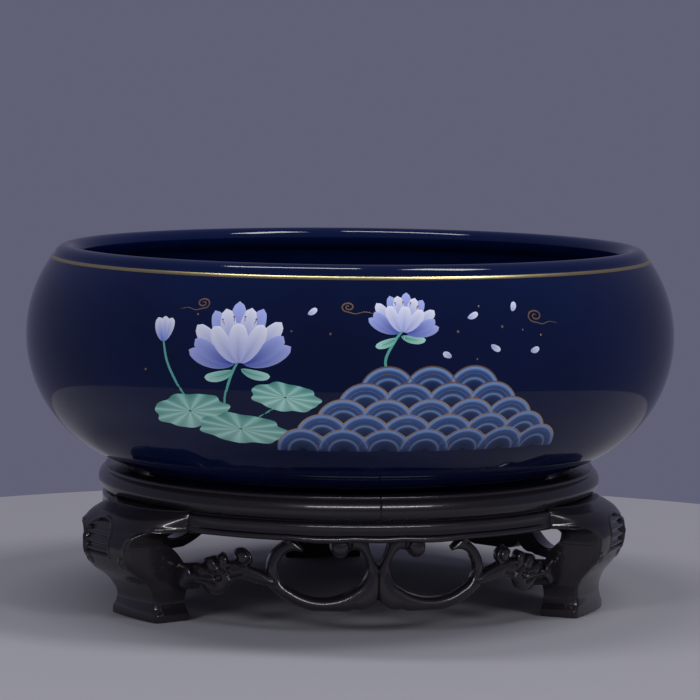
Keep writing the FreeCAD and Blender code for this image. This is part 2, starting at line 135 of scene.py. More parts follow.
def leg_outer_sharp(height, share):
    """Outer radius of the leg: shoulder arc out to the knee, arc down to the shin, hollow arc in
    to the ankle, straight flare to the toe. A share of 0 is the apron's form, 1 the full knee."""
    knee, shin = APRON_FACE + share * KNEE_OUT, APRON_FACE + share * SHIN_OUT
    knee_at = APRON_SWELL_AT - share * KNEE_DROP
    upper = arc_out((134.3 + 5 * share, SHOULDER_AT),
                    (knee - 0.9 - 5.1 * share, 59.4 - 3.4 * share),
                    (knee, knee_at), np.clip(height, knee_at, SHOULDER_AT))
    lower = arc_out((knee, knee_at),
                    (knee - 0.4 - 1.5 * share, (knee_at + SHIN_AT) / 2 - 0.8 * share),
                    (shin, SHIN_AT), np.clip(height, SHIN_AT, None))
    ankle = arc_out((shin, SHIN_AT), ((shin + ANKLE) / 2 - 0.3 - 0.8 * share, 17.5),
                    (ANKLE, ANKLE_AT), np.clip(height, ANKLE_AT, SHIN_AT))
    flare = (ANKLE_AT - np.clip(height, TOE_AT, ANKLE_AT)) / (ANKLE_AT - TOE_AT)
    radius = np.where(height > knee_at, upper, lower)
    radius = np.where(height < SHIN_AT, ankle, radius)
    return np.where(height < ANKLE_AT, ANKLE + flare * TOE_FLARE, radius)


def leg_outer(height, share):
    """The outer radius with its corners eased: the mean over a few millimetres of height."""
    spread = np.minimum(OUTLINE_EASE, np.minimum(LEG_TOP - height, np.maximum(height - 1, 0)))
    steps = np.linspace(-1, 1, 7)
    return sum(leg_outer_sharp(height + spread * step, share) for step in steps) / len(steps)


def leg_inner(height, share):
    """Inner radius of the leg: straight heel, hollow sweep out behind the knee and back in under
    the seat board."""
    calf, crook = HEEL + 13 * share, 125.5 + 5 * share
    sweep = arc_out((HEEL, HEEL_TOP), (125.3 + 4.55 * share, 36.0), (calf, CALF_AT),
                    np.clip(height, HEEL_TOP, CALF_AT))
    under = arc_out((calf, CALF_AT), ((calf + crook) / 2 + 0.4 + 2 * share, 49.0),
                    (crook, CROOK_AT), np.clip(height, CALF_AT, CROOK_AT))
    radius = np.where(height < HEEL_TOP, HEEL, np.where(height < CALF_AT, sweep, under))
    ramp = np.clip(CROOK_AT + 1 - height, 0, 1)
    return np.where(height > CROOK_AT, WOOD_BACK + (crook - WOOD_BACK) * ramp, radius)


def leg_half_width(height):
    """Half width of the front outline: square foot, waisted ankle, straight shin, and a quarter
    round that opens out under the apron."""
    foot = FOOT_HALF - (FOOT_HALF - ANKLE_HALF) * np.clip((height - TOE_AT) / 3, 0, 1)
    ankle = arc_out((ANKLE_HALF, 7.0), (19.4, 12.0), (SHIN_HALF, 17.0), np.clip(height, 7, 17))
    spandrel = arc_out((SHIN_HALF, 40.0), (23.4, 47.2), (29.0, LEDGE), np.clip(height, 40, LEDGE))
    width = np.where(height < 7, foot, np.where(height < 17, ankle, spandrel))
    return np.where(height > LEDGE, 60.0, width)


def knee_carving(across, height, half_width, shift):
    """Depth of the carving: a sunk arch-topped panel with rounded ribs across it and a raised
    fillet round it, and a bead down each edge of the knee that ends in a small curl."""
    off = across - shift
    over = np.hypot(off / PANEL_HALF, np.maximum(height - PANEL_SPRING, 0) / PANEL_RISE)
    inside = np.maximum(over, np.abs(off) / PANEL_HALF)
    edge = np.minimum((1 - inside) * PANEL_HALF, height - PANEL_FOOT)
    rib = 0.5 - 0.5 * np.cos((height - PANEL_FOOT) / RIB_PITCH * 2 * np.pi)
    panel = smooth_step(0.0, 1.0, edge) * (RIB_RISE * rib - PANEL_DEPTH)
    fillet = FILLET_RISE * np.exp(-((edge + 1.0) / 0.75) ** 2)
    inner = np.abs(across)
    from_edge = half_width - inner
    bead = np.exp(-((from_edge - 2.0) / 1.0) ** 2) * smooth_step(33.5, 35.5, height)
    curl = np.hypot(inner - (half_width - 4.6), height - 32.6)
    roll = np.exp(-((curl - 2.8) / 0.95) ** 2) + 1.2 * np.exp(-(curl / 1.3) ** 2)
    low_bead = np.exp(-((height - LEDGE - 1.6) / 1.0) ** 2) * smooth_step(25.5, 28.5, inner)
    return panel + fillet + BEAD_RISE * np.maximum(np.maximum(bead, roll), low_bead)


def leg_points(shift, swell, far_squareness):
    """Rings of the leg from sole to top. A ring runs across the front face, round a small corner,
    back along one flank, across the inside, and out along the other flank. The share of the knee's
    swell is 1 less a power of the angle, and the power drops toward the apron on the near side."""
    even = np.linspace(0, 1, ROWS_UP)
    height = LEG_TOP * (0.72 * even + 0.28 * (1 - np.cos(np.pi * even)) / 2)
    height = np.sort(np.append(height, [LEDGE - 0.02, LEDGE + 0.02]))[:, None]
    sole = 0.8 * (1 - np.sqrt(1 - (1 - np.clip(height / 0.8, 0, 1)) ** 2))

    def share_at(angle):
        near_squareness = KNEE_SQUARENESS - SHOULDER_EASE * smooth_step(43, 51, height)
        squareness = np.where(angle * shift > 0, far_squareness, near_squareness)
        return swell * (1 - np.clip(np.abs(angle) / LEG_EDGE, 0, 1) ** squareness)

    width = leg_half_width(height) - sole
    edge = np.arcsin(np.minimum(width / 150.0, 0.5))
    for _ in range(6):
        reach = leg_outer(height, share_at(edge))
        edge = np.minimum(np.arcsin(np.minimum(width / reach, 0.5)), LEG_EDGE)
    corner = CORNER * smooth_step(LEDGE + 0.01, LEDGE - 1.0, height)
    start = edge - corner / reach
    front = np.linspace(-1, 1, 131)[None, :] * start
    radius = leg_outer(height, share_at(front)) - sole
    radius = radius + (knee_carving(radius * np.sin(front), height, width, shift)
                       * smooth_step(LEG_TOP, 57, height))
    bend = np.linspace(0, np.pi / 2, 8)[None, 1:]
    corner_angle = start + corner * np.sin(bend) / reach
    corner_out = (leg_outer(height, share_at(corner_angle)) - sole - corner * (1 - np.cos(bend)))
    back = np.linspace(0, 1, 14)[None, 1:]
    flank_in = leg_inner(height, share_at(edge)) + sole
    flank_radius = corner_out[:, -1:] * (1 - back) + flank_in * back
    flank_angle = np.minimum(np.arcsin(np.minimum(width / flank_radius, 0.5)), LEG_EDGE)
    inner_angle = np.linspace(1, -1, 30)[None, 1:-1] * flank_angle[:, -1:]
    inner = leg_inner(height, share_at(inner_angle)) + sole
    ring_radius = np.concatenate([radius, corner_out, flank_radius, inner,
                                  flank_radius[:, ::-1], corner_out[:, ::-1]], 1)
    ring_angle = np.concatenate([front, corner_angle, flank_angle, inner_angle,
                                 -flank_angle[:, ::-1], -corner_angle[:, ::-1]], 1)
    return np.stack([ring_radius * np.cos(ring_angle), ring_radius * np.sin(ring_angle),
                     np.broadcast_to(height, ring_radius.shape)], -1)


def feed(tree, node, inputs):
    """Each named input of a node takes its value, or a link where an output is given."""
    for name, value in inputs.items():
        if isinstance(value, bpy.types.NodeSocket):
            tree.links.new(value, node.inputs[name])
        else:
            node.inputs[name].default_value = value
    return node


def add_node(tree, kind, inputs, operation=None):
    """A new shader node with its inputs fed. A Mix node mixes colours, and a Math node adds
    unless another operation is given."""
    node = tree.nodes.new("ShaderNode" + kind)
    if kind == "Mix":
        node.data_type = "RGBA"
    if operation:
        node.operation = operation
    return feed(tree, node, inputs)


def noise(tree, place, scale, detail):
    """Noise over an output that gives the place on the piece."""
    return add_node(tree, "TexNoise", {"Vector": place, "Scale": scale, "Detail": detail})


def new_material(name):
    """A material with its node tree and the Principled shader in it."""
    material = bpy.data.materials.new(name)
    material.use_nodes = True
    return material, material.node_tree, material.node_tree.nodes["Principled BSDF"]


def lacquer_group():
    """Lacquer over carved wood. Two noises, one drawn out along the grain, shade the black, vary
    its gloss, lift a fine grain and leave soft dust-dull patches."""
    group = bpy.data.node_groups.new("lacquer_over_grain", "ShaderNodeTree")
    for name, way, kind in (("Dark", "INPUT", "Color"), ("Light", "INPUT", "Color"),
                            ("Gloss", "INPUT", "Float"), ("Grain", "INPUT", "Float"),
                            ("Color", "OUTPUT", "Color"), ("Roughness", "OUTPUT", "Float"),
                            ("Height", "OUTPUT", "Float")):
        group.interface.new_socket(name, in_out=way, socket_type="NodeSocket" + kind)
    given = group.nodes.new("NodeGroupInput")
    place = add_node(group, "TexCoord", {})
    stretch = add_node(group, "Mapping", {"Vector": place.outputs["Object"],
                                          "Scale": (1.0, 1.0, 0.12)})
    grain = noise(group, stretch.outputs["Vector"], 900.0, 5.0)
    dust = noise(group, place.outputs["Object"], 38.0, 4.0)
    shade = add_node(group, "Mix", {"Factor": grain.outputs["Fac"], "A": given.outputs["Dark"],
                                    "B": given.outputs["Light"]})
    dull = add_node(group, "MapRange", {"Value": dust.outputs["Fac"], "From Min": 0.35,
                                        "From Max": 0.75, "To Min": -0.03, "To Max": 0.08})
    rough = add_node(group, "Math", {0: dull.outputs["Result"], 1: given.outputs["Gloss"]})
    lift = add_node(group, "Math", {0: grain.outputs["Fac"], 1: given.outputs["Grain"]},
                    "MULTIPLY")
    feed(group, group.nodes.new("NodeGroupOutput"),
         {"Color": shade.outputs["Result"], "Roughness": rough.outputs["Value"],
          "Height": lift.outputs["Value"]})
    return group


LACQUER_GROUP = lacquer_group()


def wood_finish(name, dark, light, gloss, grain, coat):
    """Principled wood whose colour, gloss and grain come from the lacquer group."""
    material, tree, shader = new_material(name)
    lacquer = tree.nodes.new("ShaderNodeGroup")
    lacquer.node_tree = LACQUER_GROUP
    feed(tree, lacquer, {"Dark": dark, "Light": light, "Gloss": gloss, "Grain": grain})
    bump = add_node(tree, "Bump", {"Height": lacquer.outputs["Height"],
                                   "Distance": 0.0002, "Strength": 0.5})
    feed(tree, shader, {"Base Color": lacquer.outputs["Color"],
                        "Roughness": lacquer.outputs["Roughness"],
                        "Normal": bump.outputs["Normal"], "Specular IOR Level": 0.3,
                        "Coat Weight": coat, "Coat Roughness": 0.08})
    return material


black_lacquer = wood_finish("black_lacquer", (0.004, 0.0035, 0.005, 1),
                            (0.009, 0.0065, 0.0085, 1), gloss=0.27, grain=0.5, coat=0.6)

for label, azimuth in LEG_AZIMUTH.items():
    leg_form = leg_points(PANEL_SHIFT[label], KNEE_SWELL[label], FAR_SQUARENESS[label])
    piece = new_mesh_piece("carved_" + label, turned(leg_form, azimuth),
                           tube_faces(*leg_form.shape[:2]), black_lacquer, 45)
    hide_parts(label)
    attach(piece, "stand")


# --- Aprons -------------------------------------------------------------------------------------
# Three curved aprons fill the spaces between the legs. Each has a narrow waist, a rounded
# shoulder, a slightly hollow face and a bead worked along its lower edge, which dips in shallow
# scallops either side of the middle.

APRON_AZIMUTH = {"front": 270.0, "rear_right": 30.0, "rear_left": 150.0}
APRON_HALF = 45.0
CUSPS = (5.2, 20.0)
SCALLOP_DROP, CUSP_DROP = 0.9, 0.6
FACE_RADIUS, FACE_TOP, FILL_FROM = 135.2, 57.5, 37.0
JOINT_EASE, MM_PER_DEGREE = 0.35, 2.4


def curve(centre, radius, start, end, count, tall=1.0):
    """Points of an arc in the section plane, angles in degrees from the outward direction."""
    angle = np.radians(np.linspace(start, end, count))
    return np.stack([centre[0] + radius * np.cos(angle),
                     centre[1] + radius * tall * np.sin(angle)], -1)


def swept(section, degrees, shrink, shift=None):
    """A section carried round the Z axis over the given angles. The last stations at each end
    draw in by the shrink, which eases the edges of the butt joint."""
    middle = section.mean(0)
    inward = middle - section
    inward = inward / np.maximum(np.linalg.norm(inward, axis=1, keepdims=True), 1e-9)
    ease = JOINT_EASE / MM_PER_DEGREE
    angles = np.radians(np.concatenate([[degrees[0], degrees[0] + ease], degrees[1:-1],
                                        [degrees[-1] - ease, degrees[-1]]]))
    inset = np.zeros(len(angles))
    inset[[0, -1]] = shrink
    rings = section[None] + inward[None] * inset[:, None, None]
    if shift is not None:
        rings = rings + shift(np.degrees(angles)[:, None], section[None])
    radius, height = rings[..., 0], rings[..., 1]
    return np.stack([radius * np.cos(angles)[:, None],
                     radius * np.sin(angles)[:, None], height], -1)


def apron_line(degrees, section):
    """Shift of the section along the apron. The lower edge drops in two shallow scallops each side
    of the middle, and near the ends the hollow face fills out to meet the leg."""
    off = np.abs(degrees)
    wide = SCALLOP_DROP * np.sin(np.pi * np.clip((off - CUSPS[0]) / (CUSPS[1] - CUSPS[0]), 0, 1))
    small = CUSP_DROP * np.cos(np.pi / 2 * np.clip(off / CUSPS[0], 0, 1))
    radius, height = section[..., 0], section[..., 1]
    drop = -(wide + small) * smooth_step(56, 51, height)
    face = (radius > FACE_RADIUS) & (height < FACE_TOP)
    near_leg = smooth_step(FILL_FROM, APRON_HALF, off)
    fill = np.where(face, 137.3 - radius, 0) * near_leg
    bead = BEAD_RISE * np.exp(-((height - 51.6) / 1.0) ** 2) * face * near_leg
    return np.stack([fill + bead, drop], -1)


apron_section = np.concatenate([
    [(124.0, 61.0), (134.0, 61.0), (134.2, 60.7)],
    curve((134.6, 60.2), 0.4, 180, 270, 5),
    curve((135.2, 57.4), 2.4, 88, 0, 12)[1:],
    curve((137.7 + 24, 55.4), 24.2, 175.5, 184.0, 8),
    curve((136.1, 51.6), 1.6, 88, -88, 18),
    curve((134.6, 50.7), 0.7, -90, -150, 4),
    [(124.6, 50.0), (124.0, 50.6)],
])
for label, azimuth in APRON_AZIMUTH.items():
    form = swept(apron_section, np.linspace(-APRON_HALF, APRON_HALF, 160), 0.12, apron_line)
    piece = new_mesh_piece("moulded_apron_" + label, turned(form, azimuth),
                           tube_faces(*form.shape[:2]), black_lacquer, 50)
    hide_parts("apron_" + label)
    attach(piece, "stand")


# --- Scrolls ------------------------------------------------------------------------------------
# Openwork between the legs, fretted out of curved boards and then carved: two C-scrolls that meet
# in a V, each with a ball curl and a horn under the apron, and a leafy branch out to each leg.

SCROLL_FRONT, SCROLL_BACK = 134.0, 124.0
SCROLL_FOOT, SCROLL_HEAD = 12.6, 50.0
SCROLL_END, SCROLL_END_BACK = 104.1, 95.3
COLUMNS_ROUND, ROWS_TALL = 561, 101
EDGE_EASE, BACK_EASE = 2.3, 0.9
PAST = 54.0
EYE = ((24.8, PAST), (24.8, 45.8), ((20.6, 40.9), (15.7, 43.6)), ((12.0, 45.4), (8.3, 42.6)),
       ((5.8, 33.0), (12.0, 24.4)), ((29.0, 18.8), (46.0, 24.2)), ((51.6, 31.0), (50.2, 38.6)),
       ((46.2, 43.4), (39.6, 43.4)), (38.8, 45.2), (43.5, 50.0), (43.5, PAST))
WINDOW = ((48.4, PAST), (48.4, 48.2), ((55.2, 41.0), (57.4, 31.2)), (66.2, 34.6),
          ((67.4, 42.8), (73.6, 40.4)), ((73.0, 37.0), (76.4, 36.0)), ((79.6, 39.6), (82.6, 35.4)),
          ((86.6, 37.2), (88.6, 32.0)), ((92.0, 32.6), (94.4, 28.0)), ((97.5, 31.6), (102.0, 31.2)),
          (125.0, 31.2), (125.0, PAST))
UNDER = ((-6.0, 8.0), (-6.0, 19.0), (0.0, 19.0), ((4.6, 14.6), (12.5, 13.6)),
         ((39.0, 13.8), (57.0, 24.6)), (68.0, 27.0), ((74.5, 25.4), (77.0, 21.6)),
         ((83.0, 17.6), (89.0, 21.4)), ((93.6, 22.6), (98.0, 18.0)), (125.0, 17.0), (125.0, 8.0))
NOTCH = ((-6.0, 36.0), (0.0, 36.0), ((3.2, 42.0), (5.4, 50.0)), (5.4, PAST), (-6.0, PAST))
BALLS = ((20.4, 46.6, 4.7, 1.5), (70.4, 39.2, 3.4, 1.0), (82.0, 27.2, 1.5, 0.8))
GROOVES = (((-1.0, 38.0), (0.0, 36.0), (0.0, 19.0)),
           ((14.6, 50.0), (14.4, 46.4), (16.0, 42.8)),
           ((66.4, 35.2), (69.6, 34.6), (73.4, 37.2)),
           ((76.4, 37.0), (77.4, 32.2), (75.8, 27.6), (70.0, 29.6)),
           ((82.7, 36.2), (81.4, 32.4), (77.6, 29.6)),
           ((88.8, 33.0), (86.6, 29.8), (82.6, 30.2)),
           ((94.6, 28.8), (90.6, 26.6), (85.8, 27.6)),
           ((98.4, 17.4), (94.0, 24.2), (88.0, 24.6), (83.4, 23.4)),
           ((57.2, 24.4), (53.4, 27.0), (57.6, 31.4)))
GROOVE_DEPTH, GROOVE_WIDTH = 1.3, 0.75
CROWN_RISE, CROWN_REACH, MOAT_DEPTH = 0.7, 5.0, 0.7


def three_point(start, middle, end, count):
    """Arc through three points, as points from start to end. The circle's centre follows from the
    complex ratio of the two chords."""
    a, b, c = (complex(*point) for point in (start, middle, end))
    ratio = (c - a) / (b - a)
    centre = (b - a) * (ratio - abs(ratio) ** 2) / (2j * ratio.imag) + a
    first, last = np.angle(a - centre), np.angle(c - centre)
    sweep = (last - first) % (2 * np.pi)
    if (np.angle(b - centre) - first) % (2 * np.pi) > sweep:
        sweep -= 2 * np.pi
    spot = centre + abs(a - centre) * np.exp(1j * (first + np.linspace(0, sweep, count)))
    return np.stack([spot.real, spot.imag], -1)


def fret_line(steps):
    """Closed outline as points: a step of one point is a straight run to it, and a step of two
    points is an arc through the first to the second."""
    points = [steps[0]]
    for step in steps[1:]:
        if np.ndim(step) == 2:
            points.extend(three_point(points[-1], *step, 22)[1:].tolist())
        else:
            points.append(step)
    return np.array(points)


def edge_distance(points, line, closed):
    """Distance from each point to the nearest part of a line, and for a closed line the sides of
    it crossed by a ray from the point, which are odd in number when it lies inside."""
    nearest = np.full(len(points), np.inf)
    crossed = np.zeros(len(points), int)
    ends = np.roll(line, -1, 0) if closed else line[1:]
    for a, b in zip(line, ends):
        along = b - a
        offset = points - a
        share = np.clip(offset @ along / max(along @ along, 1e-12), 0, 1)
        nearest = np.minimum(nearest, np.hypot(*(offset - share[:, None] * along).T))
        if closed and a[1] != b[1]:
            level = (a[1] > points[:, 1]) != (b[1] > points[:, 1])
            reach = a[0] + (points[:, 1] - a[1]) * along[0] / along[1]
            crossed += level & (points[:, 0] < reach)
    return nearest, crossed % 2 == 1


def wood_left(points):
    """How far each point of the board lies inside the wood that the fretsaw leaves, negative in a
    cut-out. The pattern is the same to the left and right of the middle."""
    half = np.stack([np.abs(points[:, 0]), points[:, 1]], -1)
    depth = np.full(len(points), np.inf)
    for line in (EYE, WINDOW, UNDER, NOTCH):
        away, inside = edge_distance(half, fret_line(line), True)
        depth = np.minimum(depth, np.where(inside, -away, away))
    return depth


def scroll_relief(points, depth):
    """Height of the carving over the board: a crown that rises in from every edge, round balls,
    and V-cut grooves with soft sides."""
    half = np.stack([np.abs(points[:, 0]), points[:, 1]], -1)
    height = CROWN_RISE * smooth_step(0.0, CROWN_REACH, depth)
    for across, up, radius, rise in BALLS:
        off = np.hypot(half[:, 0] - across, half[:, 1] - up) / radius
        ball = rise * np.sqrt(np.maximum(1 - off ** 2, 0))
        height += ball - MOAT_DEPTH * np.exp(-((off - 1.1) / 0.16) ** 2)
    for line in GROOVES:
        away = edge_distance(half, np.array(line), False)[0]
        height -= GROOVE_DEPTH * np.exp(-(away / GROOVE_WIDTH) ** 1.3)
    return height


def scroll_form():
    """Front and back of the carved board on a grid of squares. Squares whose middle lies in a
    cut-out are left out, and the points along the gap move onto its outline."""
    grid = np.stack(np.meshgrid(np.linspace(-SCROLL_END, SCROLL_END, COLUMNS_ROUND),
                                np.linspace(SCROLL_FOOT, SCROLL_HEAD, ROWS_TALL),
                                indexing="ij"), -1)
    middles = (grid[1:, 1:] + grid[:-1, :-1]) / 2
    kept = (wood_left(middles.reshape(-1, 2)) > 0).reshape(middles.shape[:2])
    framed = np.pad(kept, 1)
    neighbours = sum(framed[i:i + COLUMNS_ROUND, j:j + ROWS_TALL].astype(int)
                     for i in (0, 1) for j in (0, 1))
    whole = np.pad(np.ones_like(kept), 1).astype(int)
    present = sum(whole[i:i + COLUMNS_ROUND, j:j + ROWS_TALL] for i in (0, 1) for j in (0, 1))
    rim = (neighbours > 0) & (neighbours < present)
    probe = 0.02
    for _ in range(4):
        spots = grid[rim]
        depth = wood_left(spots)
        slope = np.stack([wood_left(spots + (probe, 0)) - depth,
                          wood_left(spots + (0, probe)) - depth], -1) / probe
        spots = spots - depth[:, None] * slope / np.maximum(
            np.linalg.norm(slope, axis=1, keepdims=True), 0.5)
        spots[:, 0] = np.clip(spots[:, 0], -SCROLL_END, SCROLL_END)
        spots[:, 1] = np.clip(spots[:, 1], SCROLL_FOOT, SCROLL_HEAD)
        grid[rim] = spots
    inside = neighbours == 4
    for _ in range(6):
        mean = (np.roll(grid, 1, 0) + np.roll(grid, -1, 0) + np.roll(grid, 1, 1)
                + np.roll(grid, -1, 1)) / 4
        grid[inside] = (0.5 * grid + 0.5 * mean)[inside]
    used = neighbours > 0
    number = np.full(used.shape, -1)
    number[used] = np.arange(used.sum())
    flat = grid[used]
    depth = np.maximum(np.minimum(wood_left(flat), flat[:, 1] - SCROLL_FOOT), 0)

    def eased(width):
        return width * (1 - np.sqrt(1 - (1 - np.minimum(depth, width) / width) ** 2))

    joint = smooth_step(SCROLL_END, SCROLL_END - 3, np.abs(flat[:, 0]))
    front = SCROLL_FRONT - eased(EDGE_EASE) * joint + scroll_relief(flat, depth) * joint
    back = SCROLL_BACK + eased(BACK_EASE)
    behind = flat[:, 0] * (1 - (1 - SCROLL_END_BACK / SCROLL_END)
                           * smooth_step(70, SCROLL_END, np.abs(flat[:, 0])))
    points = np.concatenate([
        np.stack([np.sqrt(front ** 2 - flat[:, 0] ** 2), flat[:, 0], flat[:, 1]], -1),
        np.stack([np.sqrt(back ** 2 - behind ** 2), behind, flat[:, 1]], -1)])
    i, j = np.nonzero(kept)
    corners = np.stack([number[i, j], number[i + 1, j], number[i + 1, j + 1], number[i, j + 1]], -1)
    faces = corners.tolist() + (corners[:, ::-1] + len(flat)).tolist()
    open_sides = ((framed[i + 1, j], 0, 1), (framed[i + 2, j + 1], 1, 2),
                  (framed[i + 1, j + 2], 2, 3), (framed[i, j + 1], 3, 0))
    for beyond, first, second in open_sides:
        a, b = corners[~beyond, first], corners[~beyond, second]
        faces += np.stack([a, a + len(flat), b + len(flat), b], -1).tolist()
    return points, faces


scroll_points, scroll_faces = scroll_form()
for label, azimuth in APRON_AZIMUTH.items():
    piece = new_mesh_piece("carved_scroll_" + label, turned(scroll_points, azimuth),
                           scroll_faces, black_lacquer, 55)
    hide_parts("scroll_" + label)
    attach(piece, "stand")


# --- Rim ring -----------------------------------------------------------------------------------
# The ring that holds the seat board is sawn and turned from three curved lengths, butted over the
# middle of each panel and keyed inside. A half-round moulding runs round it under a thin quirk.

RING_AZIMUTH = {"front_left": 210.0, "front_right": 330.0, "rear": 90.0}
RIM_HALF = 59.96

ring_section = np.concatenate([
    [(124.0, 61.4), (124.4, 61.0), (135.4, 61.0)],
    curve((133.2, 66.8), 6.6, -58, 52, 34, 0.99),
    [(136.7, 72.1), (136.4, 72.3)],
    curve((135.4, 73.0), 1.0, -20, 90, 8),
    curve((125.6, 72.4), 1.6, 90, 180, 8),
    [(124.0, 67.0), (129.0, 67.0), (129.0, 63.0), (124.0, 63.0)],
])
for label, azimuth in RING_AZIMUTH.items():
    form = swept(ring_section, np.linspace(-RIM_HALF, RIM_HALF, 181), 0.3)
    piece = new_mesh_piece("moulded_rim_" + label, turned(form, azimuth),
                           tube_faces(*form.shape[:2]), black_lacquer, 40)
    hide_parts("rim_" + label)
    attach(piece, "stand")


# --- Seat board, batten, keys and dowels --------------------------------------------------------
# The board and its batten are lacquered like the ring, underside too, and the batten slides
# into a dovetail housing. Loose keys and dowels are bare hardwood, glued inside the joints.

bare_wood = wood_finish("bare_wood", (0.05, 0.028, 0.016, 1), (0.11, 0.065, 0.035, 1),
                        gloss=0.6, grain=1.0, coat=0.0)
for label in ("seat_board", "board_batten", "rim_key_front", "rim_key_rear_right",
              "rim_key_rear_left", "leg_dowels", "apron_dowels", "scroll_dowels"):
    materials = frame["nodes"][label].data.materials
    materials.clear()
    materials.append(black_lacquer if "board" in label else bare_wood)


# --- Bowl ---------------------------------------------------------------------------------------
# Thrown stoneware under a deep blue glaze, fired glossy inside and out. One bulging arc makes the
# wall, the lip rolls in over it, and the ring foot is left unglazed where it stood in the kiln.

BULGE_CENTRE = (107.5, 146.5)
BULGE = 72.5
ROUND_BOWL = 288
GLAZE_DEEP, GLAZE_POOLED = (0.0012, 0.0052, 0.034, 1), (0.0022, 0.0086, 0.052, 1)
BARE_CLAY = (0.42, 0.34, 0.26, 1)
GLAZE_LINE = (0.0694, 0.0697)


def spun(name, section, material):
    """A section spun right round the Z axis. It starts and ends on the axis, where a single point
    closes each pole."""
    angle = np.linspace(0, 2 * np.pi, ROUND_BOWL, endpoint=False)
    rim = section[1:-1]
    rings = np.stack([rim[:, :1] * np.cos(angle), rim[:, :1] * np.sin(angle),
                      np.broadcast_to(rim[:, 1:], (len(rim), ROUND_BOWL))], -1)
    points = np.concatenate([rings.reshape(-1, 3), [(0, 0, section[0, 1]), (0, 0, section[-1, 1])]])
    faces = tube_faces(len(rim), ROUND_BOWL, capped=False)
    last = (len(rim) - 1) * ROUND_BOWL
    pole = len(rim) * ROUND_BOWL
    for step in range(ROUND_BOWL):
        after = (step + 1) % ROUND_BOWL
        faces.append([pole, after, step])
        faces.append([pole + 1, last + step, last + after])
    return new_mesh_piece(name, points, faces, material, 60)


bowl_section = np.concatenate([
    [(0.0, 72.5), (60.0, 72.5), (94.0, 72.5)],
    three_point((94.0, 72.5), (95.0, 72.0), (95.4, 71.0), 5)[1:],
    [(96.6, 68.2)],
    three_point((96.6, 68.2), (97.2, 67.3), (98.2, 67.0), 5)[1:],
    [(110.6, 67.0)],
    three_point((110.6, 67.0), (111.6, 67.4), (112.0, 68.4), 5)[1:],
    [(112.1, 72.6)],
    three_point((112.6, 74.2), (180.0, 146.5), (164.3, 191.4), 130),
    three_point((164.3, 191.4), (156.5, 195.8), (151.0, 190.4), 26)[1:],
    three_point((151.0, 190.4), (153.8, 185.8), (160.7, 183.0), 12)[1:],
    three_point((160.7, 183.0), (172.0, 146.5), (107.5, 82.0), 110)[1:],
    [(60.0, 82.0), (0.0, 82.0)],
])


def glaze_material():
    """Deep blue glaze over pale clay. Noise pools the colour, the clear top gloss is even, and
    the foot below the glaze line shows the clay."""
    material, tree, shader = new_material("blue_glaze")
    place = add_node(tree, "TexCoord", {})
    pools = noise(tree, place.outputs["Object"], 14.0, 6.0)
    blue = add_node(tree, "ValToRGB", {"Fac": pools.outputs["Fac"]})
    thin, thick = blue.color_ramp.elements
    thin.position, thin.color = 0.3, GLAZE_DEEP
    thick.position, thick.color = 0.75, GLAZE_POOLED
    split = add_node(tree, "SeparateXYZ", {"Vector": place.outputs["Object"]})
    ragged = noise(tree, place.outputs["Object"], 60.0, 2.0)
    wander = add_node(tree, "Math", {0: ragged.outputs["Fac"], 1: 0.0012,
                                     2: split.outputs["Z"]}, "MULTIPLY_ADD")
    line = add_node(tree, "MapRange", {"Value": wander.outputs["Value"],
                                       "From Min": GLAZE_LINE[0], "From Max": GLAZE_LINE[1]})
    clay = add_node(tree, "Mix", {"Factor": line.outputs["Result"], "A": BARE_CLAY,
                                  "B": blue.outputs["Color"]})
    dry = add_node(tree, "MapRange", {"Value": line.outputs["Result"],
                                      "To Min": 0.85, "To Max": 0.06})
    orange_peel = noise(tree, place.outputs["Object"], 90.0, 2.0)
    bump = add_node(tree, "Bump", {"Height": orange_peel.outputs["Fac"],
                                   "Strength": 0.05, "Distance": 0.0004})
    feed(tree, shader, {"Base Color": clay.outputs["Result"], "Roughness": dry.outputs["Result"],
                        "Normal": bump.outputs["Normal"], "Specular IOR Level": 0.36})
    return material


bowl = spun("glazed_bowl", bowl_section, glaze_material())
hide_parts("bowl")
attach(bowl, "bowl")


# --- Gold line ----------------------------------------------------------------------------------
# A 2 mm line of gold lustre, brushed on the turning bowl just under the lip and fired at a low
# heat. It lies on the glaze, a tenth of a millimetre thick.

GOLD_FOOT, GOLD_HEAD = 45.1, 47.1
PICTURE_AZIMUTH = math.radians(263.0)


def wall_spot(across, up, lift):
    """Points of the bowl's wall: across is the way round the belly from the middle of the picture,
    up the way along the wall's arc from the belly line, lift the height over the glaze."""
    tilt = np.asarray(up) / BULGE
    radius = BULGE_CENTRE[0] + (BULGE + lift) * np.cos(tilt)
    height = BULGE_CENTRE[1] + (BULGE + lift) * np.sin(tilt)
    angle = PICTURE_AZIMUTH + np.asarray(across) / (BULGE_CENTRE[0] + BULGE)
    radius, height, angle = np.broadcast_arrays(radius, height, angle)
    return np.stack([radius * np.cos(angle), radius * np.sin(angle), height], -1)


def gold_finish(name, colour, roughness):
    """Fired gold: metal with faint brush-worn patches in its colour and gloss."""
    material, tree, shader = new_material(name)
    place = add_node(tree, "TexCoord", {})
    wear = noise(tree, place.outputs["Object"], 160.0, 3.0)
    tone = add_node(tree, "Mix", {"Factor": wear.outputs["Fac"],
                                  "A": (*(part * 0.72 for part in colour), 1),
                                  "B": (*colour, 1)})
    gloss = add_node(tree, "MapRange", {"Value": wear.outputs["Fac"],
                                        "To Min": roughness + 0.1, "To Max": roughness - 0.08})
    feed(tree, shader, {"Metallic": 1.0, "Base Color": tone.outputs["Result"],
                        "Roughness": gloss.outputs["Result"]})
    return material


